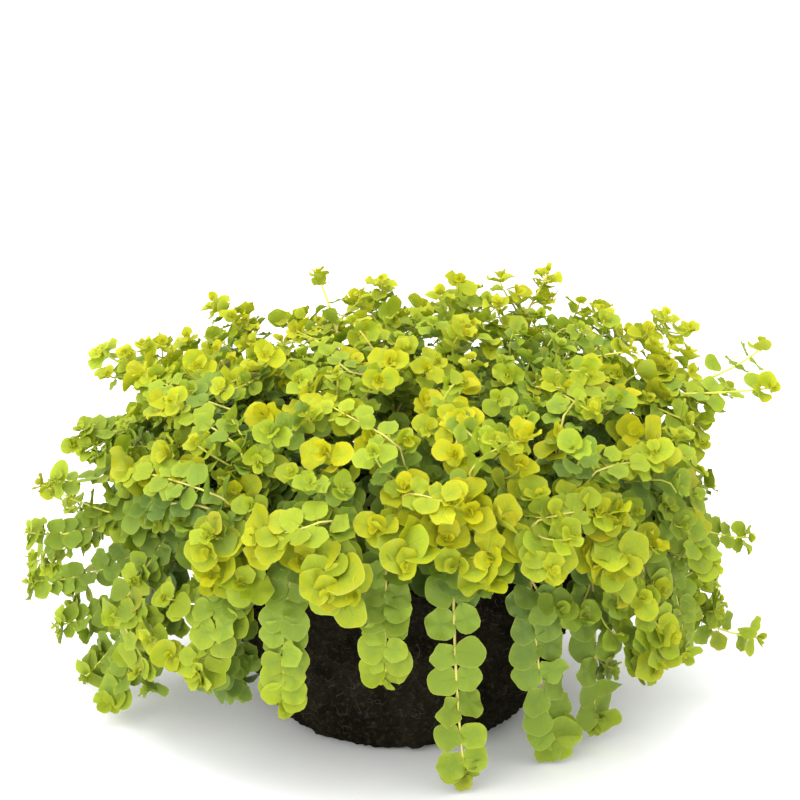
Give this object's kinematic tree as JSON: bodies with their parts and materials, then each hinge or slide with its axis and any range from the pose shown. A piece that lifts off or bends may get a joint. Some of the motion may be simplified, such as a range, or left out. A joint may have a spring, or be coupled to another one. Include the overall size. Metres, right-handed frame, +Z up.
{
  "type": "creeping jenny plant with a bare root ball",
  "caption": "Golden creeping jenny: a round mound of trailing stems with paired round leaves, growing from a bare root ball with a flat underside.",
  "frame": {"origin": "middle of the root ball's flat underside, where it stands on the surface", "axes": "+Z up; the picture's front faces -Y; +X to the right in that view"},
  "size_m": [0.4996, 0.4004, 0.2743],
  "materials": {
    "root_ball": "dark moist peat held by fine roots",
    "trailing_leaf": "thin golden green leaf, soft satin, lets light through",
    "side_leaf": "thin green leaf, soft satin, lets light through",
    "crown_leaf": "thin yellow green leaf, soft satin, lets light through"
  },
  "bodies": {
    "root": {"root_ball": "root_ball", "trailing_stem_01": "trailing_leaf", "trailing_stem_02": "trailing_leaf", "trailing_stem_03": "trailing_leaf", "trailing_stem_04": "trailing_leaf", "trailing_stem_05": "trailing_leaf", "trailing_stem_06": "trailing_leaf", "trailing_stem_07": "trailing_leaf", "trailing_stem_08": "trailing_leaf", "trailing_stem_09": "trailing_leaf", "trailing_stem_10": "trailing_leaf", "trailing_stem_11": "trailing_leaf", "trailing_stem_12": "trailing_leaf", "trailing_stem_13": "trailing_leaf", "right_stem_01": "side_leaf", "right_stem_02": "side_leaf", "right_stem_03": "side_leaf", "right_stem_04": "side_leaf", "right_stem_05": "side_leaf", "right_stem_06": "side_leaf", "right_stem_07": "side_leaf", "right_stem_08": "side_leaf", "left_stem_01": "side_leaf", "left_stem_02": "side_leaf", "left_stem_03": "side_leaf", "left_stem_04": "side_leaf", "left_stem_05": "side_leaf", "left_stem_06": "side_leaf", "left_stem_07": "side_leaf", "left_stem_08": "side_leaf", "left_stem_09": "side_leaf", "left_stem_10": "side_leaf", "back_stem_01": "side_leaf", "back_stem_02": "side_leaf", "back_stem_03": "side_leaf", "back_stem_04": "side_leaf", "back_stem_05": "side_leaf", "back_stem_06": "side_leaf", "back_stem_07": "side_leaf", "back_stem_08": "side_leaf", "back_stem_09": "side_leaf", "crown_stem_01": "crown_leaf", "crown_stem_02": "crown_leaf", "crown_stem_03": "crown_leaf", "crown_stem_04": "crown_leaf", "crown_stem_05": "crown_leaf", "crown_stem_06": "crown_leaf", "crown_stem_07": "crown_leaf", "crown_stem_08": "crown_leaf", "crown_stem_09": "crown_leaf", "crown_stem_10": "crown_leaf", "shoulder_stem_01": "crown_leaf", "shoulder_stem_02": "crown_leaf", "shoulder_stem_03": "crown_leaf", "shoulder_stem_04": "crown_leaf", "shoulder_stem_05": "crown_leaf", "shoulder_stem_06": "crown_leaf", "shoulder_stem_07": "crown_leaf", "shoulder_stem_08": "crown_leaf", "shoulder_stem_09": "crown_leaf"}
  },
  "joints": []
}
